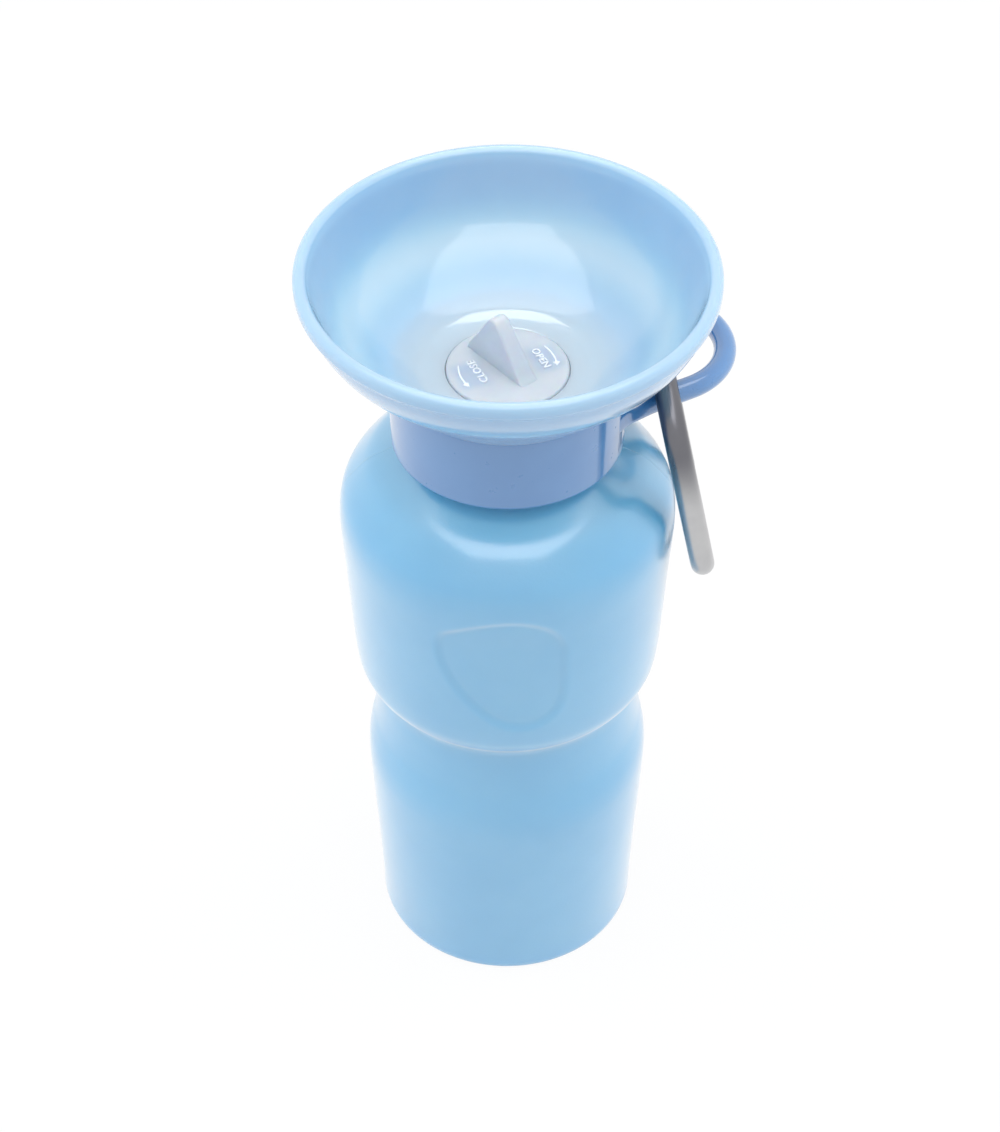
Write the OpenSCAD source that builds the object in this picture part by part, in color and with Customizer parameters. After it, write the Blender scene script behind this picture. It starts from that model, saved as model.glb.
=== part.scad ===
// Dog travel water bottle: squeeze bottle, screw-on drinking bowl with a quarter-turn
// lift valve, dip tube, strap loop and snap-hook carabiner. Millimetres, +Z up.
// The bottle stands on z = 0, its axis is Z, its front (thumb recess) faces -Y.

/* [Bottle] */
// Height of the neck's sealing land above the floor
land_z = 192; // [170:1:215]
// Wall thickness of the blown shell
wall = 1.6; // [1:0.1:2.5]
// Widest radius of the upper body
body_r = 44.85; // [38:0.05:52]
// Outer radius of the neck
neck_r = 25.5; // [20:0.1:30]
// Wall thickness of the neck
neck_wall = 1.8; // [1.2:0.1:3]
// Depth of the thumb recess
recess_depth = 0.7; // [0.2:0.1:1.0]
// Height of the moulded-in punt over the standing ring
punt_h = 2.2; // [1:0.1:4]

/* [Screw thread] */
// Rise in one turn
thread_pitch = 5; // [3:0.5:8]
// Tooth height along the axis
tooth_z = 1.5; // [1:0.1:2]
// Tooth height across the axis
tooth_r = 1.2; // [0.8:0.1:2]
// Radial gap between either crest and the other wall
thread_gap = 0.5; // [0.3:0.1:0.8]
// Degrees of thread on the neck
neck_thread_deg = 400; // [180:20:720]
// Degrees of thread in the skirt
skirt_thread_deg = 320; // [180:20:720]
// Direction in which both threads start, from +X
thread_start = 7; // [0:1:90]
// Degrees covered by one step of either thread
thread_step = 20; // [10:5:30]
// Degrees left open between two steps
thread_slit = 0.4; // [0.2:0.1:2]
// Drop from the land to the neck thread's first step
thread_drop = 10.5; // [8:0.5:14]
// Axial play between the two threads
thread_play = 0.5; // [0.3:0.1:1]

/* [Bowl] */
// Radius of the rolled rim
rim_r = 54; // [45:0.5:65]
// Top of the rolled rim
rim_z = 229.9; // [210:0.1:250]
// Thickness of the neck gasket
gasket_t = 1.5; // [1:0.1:2.5]
// Thickness of the floor plate
floor_t = 2.1; // [1.5:0.1:3]
// Radius of the floor recess that takes the valve disc
pocket_r = 16.8; // [16.3:0.1:18]
// Radius at which the bowl's floor starts to rise
funnel_r = 18.2; // [18:0.1:20]
// Middle radius of the weld ring between bowl and screw cap
weld_r = 25; // [22:0.1:27]
// Width of the weld ring
weld_t = 1.6; // [1:0.1:2.4]
// Height of the weld ring
weld_h = 0.8; // [0.4:0.1:1.2]
// Wall thickness of the threaded skirt
skirt_wall = 2; // [1.4:0.1:3]
// Drop from the land to the skirt's lower edge
skirt_drop = 15.4; // [12:0.1:18]
// Land between a port and the hub or the disc's seal
port_land = 1.2; // [0.8:0.1:2]
// Direction of the first water port, from +X
port_az = 20; // [0:1:90]
// Degrees covered by one port
port_deg = 70; // [40:5:90]

/* [Valve] */
// Radius of the turning disc
disc_r = 16; // [13:0.1:18]
// Thickness of the turning disc
disc_t = 1.9; // [1.5:0.1:3]
// Height of the finger fin over the disc
fin_h = 13.9; // [8:0.1:20]
// Thickness of the finger fin
fin_t = 3.6; // [2:0.1:6]
// Direction of the fin's foot, from +X
fin_az = -50; // [-90:1:90]
// Radius of the valve stem
stem_r = 4; // [3:0.1:5]
// Radial running clearance of the stem
stem_fit = 0.05; // [0.02:0.01:0.1]
// Lift in a quarter turn
valve_lift = 2.5; // [1:0.1:4]
// Radius of the cam pin
pin_r = 1; // [0.6:0.1:1.5]
// Play of the cam pin in its helical slots
pin_play = 0.25; // [0.15:0.05:0.4]
// Drop from the floor plate to the cam pin with the valve closed
pin_drop = 7.3; // [6:0.1:9]
// Outer radius of the hub round the stem
hub_r = 7; // [6:0.1:8]
// Width of the seal ring under the disc
seal_w = 1.3; // [0.8:0.1:2]

/* [Collar and strap] */
// Wall thickness of the collar
collar_wall = 1.45; // [1:0.05:3]
// How far the collar reaches below the skirt
collar_under = 0.6; // [0.2:0.1:2]
// Direction in which the strap leaves the collar, from +X
strap_az = 29; // [0:1:60]
// Radius of the strap's cord
cord_r = 3; // [2:0.1:4]
// Drop from the land to the cord's centreline
cord_drop = 5; // [3:0.5:9]
// Half the distance between the loop's legs
loop_half = 18.8; // [14:0.1:22]
// How far short of the collar's outermost reach its two tabs end
tab_short = 0.5; // [0:0.1:2]
// Height of the two tabs
tab_h = 7; // [6.4:0.1:11]
// Distance from the collar to the hinge of the flexing loop
root_out = 9.8; // [8:0.1:14]
// Length of the loop's straight legs beyond the hinge
leg_len = 3.7; // [3:0.1:12]

/* [Carabiner] */
// Radius of the rod
rod_r = 3.2; // [2.5:0.1:4]
// Half the width between the two rod centrelines
ring_half = 14.5; // [11:0.1:18]
// Length between the top and bottom centrelines
ring_len = 62; // [45:0.1:75]
// Outward lean of the hanging carabiner
ring_lean = 11.2; // [5:0.1:20]
// Direction that the carabiner's flat side faces
ring_az = 5; // [0:1:20]
// Where it hangs along the strap's leg, from the collar
hang_out = 5; // [4.5:0.1:6]
// Radius of the gate
gate_r = 3.3; // [2.4:0.1:3.9]
// Distance of the gate's pivot under the end of the top bow
pivot_drop = 3.9; // [3.6:0.1:6]
// Radius of the gate's pivot pin
pivot_r = 1; // [0.7:0.1:1.3]

/* [Dip tube] */
// Outer radius of the dip tube
tube_r = 4; // [3:0.1:5]
// Wall of the dip tube
tube_wall = 1; // [0.6:0.1:1.5]
// Height of the tube's open lower end
tube_z = 10; // [6:0.5:20]

/* [Hidden] */
$fn = 96;

fit = 0.05;
sr = body_r / 44.85;
sz = land_z / 192;

neck_bore_r = neck_r - neck_wall;
neck_crest_r = neck_r + tooth_r;
skirt_crest_r = neck_r + thread_gap;
skirt_bore_r = neck_crest_r + thread_gap;
skirt_r = skirt_bore_r + skirt_wall;
skirt_z = land_z - skirt_drop;
collar_r = skirt_r + fit + collar_wall;
collar_z = skirt_z - collar_under;
neck_thread_z = land_z - thread_drop;
skirt_thread_z = neck_thread_z - tooth_z - thread_play;

floor_under = land_z + gasket_t;
floor_z = floor_under + floor_t;
seat_z = floor_z + fit;
disc_under = floor_z + 0.5;
disc_z = disc_under + disc_t;
foot_z = disc_z;
gasket_gap = 0.03;
bore_r = stem_r + stem_fit;
pin_z = floor_under - pin_drop;
hub_z = pin_z - 3 * pin_r;
seal_out_r = disc_r - 0.6;
port_in_r = hub_r + port_land;
port_out_r = seal_out_r - seal_w - 0.5;

adapter_r = neck_bore_r - 1.2;
adapter_wall = 1.6;
socket_wall = 1.65;
funnel_z = land_z - 18.6;
spigot_z = funnel_z - 9.4;
tube_top = funnel_z + 0.6;

flex_u = collar_r + root_out;
loop_u = flex_u + leg_len;
cord_z = land_z - cord_drop;
hang_u = collar_r + hang_out;
hang_z = cord_z + cord_r + rod_r + 0.1;
hang_x = hang_u * cos(strap_az) + loop_half * sin(strap_az);
hang_y = hang_u * sin(strap_az) - loop_half * cos(strap_az);

low_z = ring_half - ring_len;
gate_top = -ring_half - pivot_drop;
gate_end = low_z + 3.3;
latch_z = low_z + 5.1;
nose_z = low_z + 2.7;
spring_bore = 0.576 * gate_r;
tang_r = 0.85 * gate_r;
chamber_top = gate_top - 3.8;
chamber_end = gate_end + 6.2;

// Outside of the shell at its drawn size, from the standing ring up to the shoulder.
outline = [[34.6, 0], [35.9, 0.45], [36.6, 1.5], [36.75, 8], [37, 14], [37.7, 28], [38.5, 42],
    [39.05, 52], [39.35, 58], [39.4, 62], [39.05, 66.5], [38.2, 71], [37.35, 75], [36.7, 80],
    [36.3, 85], [36.1, 89], [36.3, 91.2], [37, 92.8], [38.2, 94.4], [39.7, 96.1],
    [40.8, 98], [41.5, 100], [42.05, 104], [42.5, 110], [43.1, 120], [43.8, 132], [44.35, 140],
    [44.75, 146], [44.85, 150], [44.7, 153], [44.15, 156], [43.3, 158.2], [42.1, 160.2],
    [40.5, 162.4], [38.6, 164.8], [36.4, 167.2], [33.8, 169.5]];
shell = concat([for (p = outline) [p[0] * sr, p[1] * sz]],
    [[neck_r + 5.5, 171.3 * sz], [neck_r + 3.1, 172.4 * sz], [neck_r + 1.1, 173.1 * sz]]);
// Thumb recess at its drawn size, as arc length along the front and height.
recess = [[-20, 136.5], [-19.4, 140.1], [-17.7, 142.6], [-14.8, 144.6], [-11, 146.6],
    [-7.1, 148.2], [-2, 149.4], [3.1, 149.5], [6.2, 148.8], [8.7, 147.6], [11, 146.2],
    [12.8, 144.4], [14.5, 141.8], [15.7, 138.9], [16.3, 135.4], [16.5, 132], [16.5, 127],
    [16.3, 122.7], [15.5, 116.2], [14.4, 112.8], [12.9, 110.7], [10.8, 108.8], [8, 107.4],
    [5.6, 106.8], [3.2, 106.7], [1, 107.1], [-1.4, 107.9], [-5.6, 110.7], [-10.2, 115.4],
    [-14.1, 120.4], [-17.3, 126.2], [-19.3, 132.2]];
recess_r = 43.4 * sr;
// Bowl walls as shares of the way from the floor out to the rim and up to it.
bowl_in = [[0.162, 0.09], [0.33, 0.166], [0.497, 0.277], [0.609, 0.37], [0.693, 0.464],
    [0.743, 0.548], [0.768, 0.612], [0.81, 0.711], [0.855, 0.828], [0.888, 0.921]];
bowl_out = [[0.964, 0.86], [0.936, 0.77], [0.897, 0.682], [0.852, 0.604], [0.799, 0.536]];

function bowl_pt(p) = [funnel_r + (rim_r - funnel_r) * p[0], floor_z + (rim_z - floor_z) * p[1]];

function rim_arc(r0, z0, r, a0, a1, n) =
    [for (i = [0:n]) [r0 + r * cos(a0 + (a1 - a0) * i / n), z0 + r * sin(a0 + (a1 - a0) * i / n)]];

module ring(r_out, r_in, z0, z1) {
    translate([0, 0, z0])
        difference() {
            cylinder(r = r_out, h = z1 - z0);
            translate([0, 0, -1])
                cylinder(r = r_in, h = z1 - z0 + 2);
        }
}

// A square-toothed screw thread in short coaxial steps.
module thread(r_in, r_out, z0, sweep) {
    for (i = [0:sweep / thread_step - 1])
        rotate([0, 0, thread_start + i * thread_step])
            translate([0, 0, z0 + thread_pitch * (i + 0.5) * thread_step / 360])
                rotate_extrude(angle = thread_step - thread_slit)
                    translate([r_in, 0])
                        square([r_out - r_in, tooth_z]);
}

module shell_solid(inset) {
    rotate_extrude()
        polygon(concat([[0, shell[0][1]]],
            [for (p = shell) [p[0] - inset, p[1]]],
            [[0, shell[len(shell) - 1][1]]]));
}

module bottle_cavity() {
    low = punt_h + wall;
    inner = [for (p = shell) if (p[1] > low + 2 && p[1] < 172 * sz)
        [p[0] - wall, p[1] - wall * 0.12]];
    rotate_extrude()
        polygon(concat([[0, low], [shell[0][0] - 1, low], [shell[0][0] + 0.1, low + 0.9]],
            inner,
            [[neck_bore_r + 3.7, 170.4 * sz], [neck_bore_r + 1.3, 171.4 * sz],
            [neck_bore_r, 172.6 * sz], [neck_bore_r, land_z + 1], [0, land_z + 1]]));
}

module thumb_recess() {
    intersection() {
        difference() {
            translate([0, 0, 100 * sz])
                cylinder(r = 60 * sr, h = 55 * sz);
            shell_solid(recess_depth);
        }
        translate([0, -30 * sr, 0])
            rotate([90, 0, 0])
                linear_extrude(height = 20 * sr)
                    polygon([for (p = recess)
                        [recess_r * sin(p[0] / 43.4 * 180 / PI), p[1] * sz]]);
    }
}

module bottle() {
    color([0.62, 0.78, 0.91])
        difference() {
            union() {
                shell_solid(0);
                translate([0, 0, 168 * sz])
                    cylinder(r = neck_r, h = land_z - 168 * sz);
                translate([0, 0, 174.4 * sz])
                    cylinder(r = neck_r + 1, h = 1.4);
                thread(neck_r - 0.4, neck_crest_r, neck_thread_z, neck_thread_deg);
            }
            bottle_cavity();
            thumb_recess();
            rotate_extrude()
                polygon([[0, -1], [32.2 * sr, -1], [31.4 * sr, 0.3], [29.6 * sr, punt_h - 0.3],
                    [28.2 * sr, punt_h], [0, punt_h]]);
        }
}

module neck_gasket() {
    color([0.95, 0.96, 0.97])
        ring(skirt_bore_r - 0.4, neck_bore_r + 0.05, land_z + gasket_gap, floor_under - gasket_gap);
}

module bowl_profile() {
    inside = concat([[pocket_r, seat_z], [pocket_r, disc_z - 0.9], [pocket_r + 0.4, disc_z - 0.5]],
        [for (p = bowl_in) bowl_pt(p)]);
    outside = concat([for (p = bowl_out) bowl_pt(p)],
        [[collar_r + 0.1, foot_z], [skirt_r, foot_z], [skirt_r, seat_z]]);
    groove_in = weld_r - weld_t / 2 - fit;
    groove_out = weld_r + weld_t / 2 + fit;
    lip_r = 1.75;
    polygon(concat(
        inside,
        rim_arc(rim_r - lip_r, rim_z - lip_r, lip_r, 170, 0, 8),
        rim_arc(rim_r - lip_r, rim_z - 3, lip_r, 0, -75, 4),
        outside,
        [[groove_out, seat_z], [groove_out, seat_z + weld_h], [groove_in, seat_z + weld_h],
            [groove_in, seat_z]]));
}

module bowl() {
    color([0.72, 0.85, 0.95])
        rotate_extrude()
            bowl_profile();
}

module screw_cap() {
    color([0.72, 0.85, 0.95])
        difference() {
            union() {
                ring(skirt_r, skirt_bore_r, skirt_z, floor_under + 0.2);
                ring(skirt_r, bore_r, floor_under, floor_z);
                ring(weld_r + weld_t / 2, weld_r - weld_t / 2, floor_z - 0.2, floor_z + weld_h);
                ring(hub_r, bore_r, hub_z, floor_under + 0.2);
                ring(neck_bore_r - 0.35, adapter_r + fit, floor_under - 3, floor_under + 0.2);
                thread(skirt_crest_r, skirt_bore_r + 0.4, skirt_thread_z, skirt_thread_deg);
            }
            for (a = [port_az, port_az + 180])
                rotate([0, 0, a - port_deg / 2])
                    translate([0, 0, floor_under - 1])
                        rotate_extrude(angle = port_deg)
                            translate([port_in_r, 0])
                                square([port_out_r - port_in_r, floor_t + 2]);
            for (a = [0:10:90])
                translate([0, 0, pin_z + valve_lift * a / 90])
                    rotate([0, 0, a])
                        rotate([0, 90, 0])
                            cylinder(r = pin_r + pin_play, h = 2 * hub_r + 2, center = true);
        }
}

module collar_tab(side) {
    tip = collar_r - tab_short;
    v_in = loop_half - cord_r;
    v_out = loop_half + cord_r;
    u_in = sqrt(collar_r * collar_r - v_in * v_in);
    u_out = sqrt(collar_r * collar_r - v_out * v_out);
    translate([0, 0, cord_z - tab_h / 2])
        linear_extrude(height = tab_h)
            polygon([[tip, side * v_out], [tip, side * v_in], [u_in + 1, side * (v_in - 0.5)],
                [u_in - 0.3, side * (v_in - 1.6)], [u_in - 1.8, side * (v_in + 1.4)],
                [u_out - 2, side * (v_out + 0.6)], [u_out - 4.2, side * (v_out + 2.6)],
                [u_out - 1.2, side * (v_out + 1.7)], [u_out + 3, side * (v_out + 0.4)]]);
    translate([tip - 1, side * loop_half, cord_z])
        rotate([0, 90, 0])
            cylinder(r = cord_r, h = flex_u - cord_r - 0.2 - (tip - 1));
}

module collar() {
    color([0.52, 0.62, 0.78])
        difference() {
            union() {
                rotate_extrude()
                    polygon([[skirt_r + fit, collar_z], [collar_r - 0.9, collar_z],
                        [collar_r - 0.35, collar_z + 0.2], [collar_r - 0.05, collar_z + 0.6],
                        [collar_r, collar_z + 1.1],
                        [collar_r, foot_z - fit], [skirt_r + fit, foot_z - fit]]);
                rotate([0, 0, strap_az]) {
                    collar_tab(1);
                    collar_tab(-1);
                }
            }
            translate([0, 0, collar_z - 1])
                cylinder(r = skirt_r + fit, h = foot_z - collar_z + 2);
        }
}

module strap_loop() {
    color([0.52, 0.62, 0.78])
        rotate([0, 0, strap_az])
            translate([0, 0, cord_z]) {
                for (s = [-1, 1])
                    translate([flex_u, s * loop_half, 0]) {
                        sphere(r = cord_r);
                        rotate([0, 90, 0])
                            cylinder(r = cord_r, h = loop_u - flex_u);
                    }
                translate([loop_u, 0, 0])
                    rotate([0, 0, -90])
                        rotate_extrude(angle = 180)
                            translate([loop_half, 0])
                                circle(r = cord_r);
            }
}

module tube_adapter() {
    color([0.9, 0.93, 0.95])
        rotate_extrude()
            polygon([[tube_r + fit, spigot_z], [tube_r + socket_wall, spigot_z],
                [tube_r + socket_wall, funnel_z], [adapter_r, funnel_z + 9.2],
                [adapter_r, floor_under - fit], [adapter_r - adapter_wall, floor_under - fit],
                [adapter_r - adapter_wall, funnel_z + 10.2], [tube_r + fit, funnel_z + 1.3]]);
}

module dip_tube() {
    color([0.93, 0.95, 0.97])
        ring(tube_r, tube_r - tube_wall, tube_z, tube_top);
}

module valve_knob() {
    color([0.88, 0.92, 0.95])
        difference() {
            union() {
                rotate_extrude()
                    polygon([[0, disc_under], [disc_r - 0.4, disc_under], [disc_r, disc_under + 0.4],
                        [disc_r, disc_z - 0.5], [disc_r - 0.15, disc_z - 0.15],
                        [disc_r - 0.5, disc_z], [0, disc_z]]);
                rotate([0, 0, fin_az])
                    translate([0, fin_t / 2, disc_z])
                        rotate([90, 0, 0])
                            linear_extrude(height = fin_t)
                                polygon([[2.4 - disc_r, -0.3], [2.8 - disc_r, 0.8],
                                    [-5.6, fin_h - 1], [-4.7, fin_h - 0.2], [-3.6, fin_h],
                                    [-2.6, fin_h - 0.3], [-1.7, fin_h - 1],
                                    [disc_r - 6.8, 1.8], [disc_r - 3.1, 0.7],
                                    [disc_r - 2.4, -0.3]]);
            }
            translate([0, 0, disc_under - 1])
                cylinder(r = stem_r - 1 + fit, h = 2.3);
        }
}

module valve_stem() {
    color([0.85, 0.87, 0.9])
        difference() {
            rotate_extrude()
                polygon([[0, hub_z + 0.8], [stem_r - 0.5, hub_z + 0.8], [stem_r, hub_z + 1.3],
                    [stem_r, floor_z - 5], [stem_r - 1, floor_z - 5], [stem_r - 1, floor_z - 3.6],
                    [stem_r, floor_z - 3.6], [stem_r, disc_under - fit],
                    [stem_r - 1, disc_under - fit], [stem_r - 1, disc_under + 1.2],
                    [0, disc_under + 1.2]]);
            translate([0, 0, pin_z])
                rotate([0, 90, 0])
                    cylinder(r = pin_r + 0.02, h = 20, center = true);
        }
}

module cam_pin() {
    color([0.75, 0.76, 0.78])
        translate([0, 0, pin_z])
            rotate([0, 90, 0])
                cylinder(r = pin_r, h = 2 * hub_r - 0.6, center = true);
}

module valve_seal() {
    color([0.97, 0.97, 0.98])
        ring(seal_out_r, seal_out_r - seal_w, floor_z + 0.03, disc_under - 0.03);
}

module stem_o_ring() {
    color([0.12, 0.12, 0.13])
        translate([0, 0, floor_z - 4.3])
            rotate_extrude()
                translate([stem_r - 0.47, 0])
                    circle(r = 0.49, $fn = 32);
}

// The carabiner's own frame: X' across its flat side, Z' up its length, top bow at 0.
module at_ring() {
    translate([hang_x, hang_y, hang_z])
        rotate([0, 0, ring_az])
            rotate([0, -ring_lean, 0])
                children();
}

module bow(z, flip) {
    translate([0, 0, z])
        rotate([90, flip, 90])
            rotate_extrude(angle = 180)
                translate([ring_half, 0])
                    circle(r = rod_r, $fn = 64);
}

module carabiner_frame() {
    color([0.6, 0.62, 0.64])
        at_ring()
            difference() {
                union() {
                    bow(-ring_half, 0);
                    bow(low_z, 180);
                    translate([0, -ring_half, low_z])
                        cylinder(r = rod_r, h = ring_len - 2 * ring_half, $fn = 64);
                    translate([-1.5, ring_half - tang_r, gate_top])
                        cube([3, 2 * tang_r, -ring_half - gate_top]);
                    translate([0, ring_half, gate_top])
                        rotate([0, 90, 0])
                            cylinder(r = tang_r, h = 3, center = true);
                    translate([0, ring_half, low_z])
                        cylinder(r = rod_r, h = nose_z - low_z, $fn = 64);
                    translate([-1.2, ring_half - 2.4, nose_z - 0.5])
                        cube([2.4, 4.8, 5.3]);
                }
                translate([0, ring_half, gate_top])
                    rotate([0, 90, 0])
                        cylinder(r = pivot_r + fit, h = 12, center = true, $fn = 32);
                translate([-3, ring_half - 6, latch_z - 1.05])
                    cube([6, 6.9, 2.1]);
            }
}

module carabiner_gate() {
    color([0.66, 0.68, 0.7])
        at_ring()
            translate([0, ring_half, 0])
                difference() {
                    union() {
                        translate([0, 0, gate_end])
                            cylinder(r = gate_r, h = gate_top - gate_end, $fn = 64);
                        translate([0, 0, gate_top])
                            sphere(r = gate_r, $fn = 64);
                    }
                    translate([-1.75, -5, chamber_top])
                        cube([3.5, 10, 10]);
                    translate([-1.5, -5, gate_end - 1])
                        cube([3, 10, 6]);
                    translate([0, 0, chamber_end])
                        cylinder(r = spring_bore, h = chamber_top - chamber_end + 1, $fn = 48);
                    translate([0, 0, gate_top])
                        rotate([0, 90, 0])
                            cylinder(r = pivot_r + 0.02, h = 12, center = true, $fn = 32);
                    translate([0, 0, latch_z])
                        rotate([0, 90, 0])
                            cylinder(r = 0.82, h = 12, center = true, $fn = 32);
                }
}

module gate_pivot_pin() {
    color([0.35, 0.36, 0.38])
        at_ring()
            translate([0, ring_half, gate_top])
                rotate([0, 90, 0])
                    cylinder(r = pivot_r, h = 6.2, center = true, $fn = 32);
}

module gate_latch_pin() {
    color([0.35, 0.36, 0.38])
        at_ring()
            translate([0, ring_half, latch_z])
                rotate([0, 90, 0])
                    cylinder(r = 0.8, h = 6, center = true, $fn = 32);
}

module gate_plunger() {
    color([0.7, 0.7, 0.72])
        at_ring()
            translate([0, ring_half, 0]) {
                translate([0, 0, chamber_top - 1.8])
                    cylinder(r = spring_bore - 0.1, h = 1.4, $fn = 48);
                translate([0, 0, chamber_top - 0.6])
                    cylinder(r = 1.1, h = 4.3 - tang_r, $fn = 48);
            }
}

// Closed-end helical spring as one swept tube.
module gate_spring() {
    coils = 8;
    per = 14;
    sides = 6;
    n = coils * per;
    wire = 0.28;
    r = 1.5;
    z0 = chamber_end + 0.35;
    z1 = chamber_top - 2.15;
    pts = [for (i = [0:n], j = [0:sides - 1])
        let (a = i * 360 / per, b = j * 360 / sides, q = r + wire * cos(b))
        [q * cos(a), q * sin(a), z0 + (z1 - z0) * i / n + wire * sin(b)]];
    quads = [for (i = [0:n - 1], j = [0:sides - 1])
        let (k = (j + 1) % sides)
        [i * sides + j, i * sides + k, (i + 1) * sides + k, (i + 1) * sides + j]];
    ends = [[for (j = [sides - 1:-1:0]) j], [for (j = [0:sides - 1]) n * sides + j]];
    color([0.7, 0.7, 0.72])
        at_ring()
            translate([0, ring_half, 0])
                polyhedron(points = pts, faces = concat(quads, ends), convexity = 6);
}

bottle();
neck_gasket();
bowl();
screw_cap();
collar();
strap_loop();
tube_adapter();
dip_tube();
valve_knob();
valve_stem();
cam_pin();
valve_seal();
stem_o_ring();
carabiner_frame();
carabiner_gate();
gate_pivot_pin();
gate_latch_pin();
gate_spring();
gate_plunger();
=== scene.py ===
# A travel water bottle for dogs: a soft squeeze bottle with a screw-on drinking bowl, a lift
# valve in the bowl's floor, and a strap loop that carries a small snap hook.
# It is laid out in the order in which the real one is put together.
import math

import bmesh
import bpy
import numpy as np
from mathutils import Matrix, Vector


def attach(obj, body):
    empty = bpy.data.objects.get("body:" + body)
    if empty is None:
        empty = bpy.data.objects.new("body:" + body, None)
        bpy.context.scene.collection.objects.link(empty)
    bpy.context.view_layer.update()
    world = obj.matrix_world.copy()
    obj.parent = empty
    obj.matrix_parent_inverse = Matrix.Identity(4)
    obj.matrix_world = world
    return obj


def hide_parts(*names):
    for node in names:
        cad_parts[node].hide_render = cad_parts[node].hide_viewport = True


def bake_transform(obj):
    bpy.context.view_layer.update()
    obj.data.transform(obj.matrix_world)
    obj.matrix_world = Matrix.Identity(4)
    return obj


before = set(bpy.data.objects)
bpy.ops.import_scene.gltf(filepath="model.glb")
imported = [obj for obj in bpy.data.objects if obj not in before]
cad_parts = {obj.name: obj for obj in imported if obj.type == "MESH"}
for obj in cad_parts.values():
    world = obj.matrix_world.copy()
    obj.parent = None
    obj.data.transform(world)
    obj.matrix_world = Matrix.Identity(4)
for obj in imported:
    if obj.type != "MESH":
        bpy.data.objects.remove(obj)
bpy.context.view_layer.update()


# ---- The view -------------------------------------------------------------------------
# The camera looks down at 43 degrees from 0.83 m, with the bottle's axis a little right of
# the middle, through a 96.5 mm lens.
lens = bpy.data.cameras.new("camera")
lens.sensor_width = 36
lens.lens = 96.53
lens.clip_end = 20
camera = bpy.data.objects.new("camera", lens)
camera.location = (-0.0020, -0.6016, 0.6965)
camera.rotation_euler = (math.radians(46.6), 0, 0)
bpy.context.scene.collection.objects.link(camera)
bpy.context.scene.camera = camera
bpy.context.scene.view_settings.view_transform = "Standard"


# ---- Studio ---------------------------------------------------------------------------
# A white floor under soft boxes. What the camera sees of floor and world is plain white,
# and the floor keeps a faint contact shadow.
class Wire:
    """One output of a node. Arithmetic on it adds the Math node that does that step."""

    def __init__(self, finish, socket):
        self.finish = finish
        self.socket = socket

    def step(self, operation, *values):
        return self.finish.add("Math", {"operation": operation}, *values)

    def __add__(self, other):
        return self.step("ADD", self, other)

    def __radd__(self, other):
        return self.step("ADD", other, self)

    def __sub__(self, other):
        return self.step("SUBTRACT", self, other)

    def __rsub__(self, other):
        return self.step("SUBTRACT", other, self)

    def __mul__(self, other):
        return self.step("MULTIPLY", self, other)

    def __rmul__(self, other):
        return self.step("MULTIPLY", other, self)

    def __truediv__(self, other):
        return self.step("DIVIDE", self, other)

    def __pow__(self, other):
        return self.step("POWER", self, other)

    def __abs__(self):
        return self.step("ABSOLUTE", self)


class Finish:
    """A material built in code around one Principled shader."""

    def __init__(self, name, constants=None):
        self.material = bpy.data.materials.new(name)
        self.material.use_nodes = True
        self.tree = self.material.node_tree
        self.shader = self.tree.nodes["Principled BSDF"]
        self.output = self.tree.nodes["Material Output"]
        self.feed(self.shader, constants or {})

    def feed(self, node, values):
        for key, value in values.items():
            if isinstance(value, Wire):
                self.tree.links.new(value.socket, node.inputs[key])
            elif value is not None:
                node.inputs[key].default_value = value

    def add(self, kind, settings=None, *values, out=0, **named):
        """A node of this type: its settings first, then its sockets by order or by name."""
        node = self.tree.nodes.new("ShaderNode" + kind)
        for key, value in (settings or {}).items():
            if key == "stops":
                ramp = node.color_ramp.elements
                while len(ramp) < len(value):
                    ramp.new(0.5)
                for element, (at, colour) in zip(ramp, value):
                    element.position = at
                    element.color = colour
            else:
                setattr(node, key, value)
        self.feed(node, dict(enumerate(values)))
        self.feed(node, {key.replace("_", " "): value for key, value in named.items()})
        return Wire(self, node.outputs[out])

    def place(self):
        """Object coordinates as one vector."""
        return self.add("TexCoord", out="Object")

    def axes(self):
        """Object x, y and z as three values."""
        split = self.add("SeparateXYZ", None, self.place())
        return [Wire(self, s) for s in split.socket.node.outputs]

    def noise(self, size, detail=2.0, rough=0.5, vector=None):
        """Soft noise whose features are about this many metres across."""
        return self.add("TexNoise", None, Vector=vector or self.place(), Scale=1.0 / size,
                        Detail=detail, Roughness=rough)

    def band(self, value, low, high):
        """0 below low, 1 above high, smooth between."""
        return self.add("MapRange", {"interpolation_type": "SMOOTHSTEP"}, value, low, high, 0.0, 1.0)

    def mix(self, share, first, second):
        """Two colours mixed by a share from 0 to 1."""
        node = self.add("Mix", {"data_type": "RGBA"}, share, out=2)
        self.feed(node.socket.node, {6: first, 7: second})
        return node

    def bump(self, height, depth, strength=1.0, under=None):
        """A height from 0 to 1 raised to this many metres."""
        return self.add("Bump", None, Strength=strength, Distance=depth, Height=height,
                        Normal=under)

    def wear(self, **changes):
        """Links what varies over the surface into the shader."""
        self.feed(self.shader, {key.replace("_", " "): value for key, value in changes.items()})
        return self.material


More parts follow.
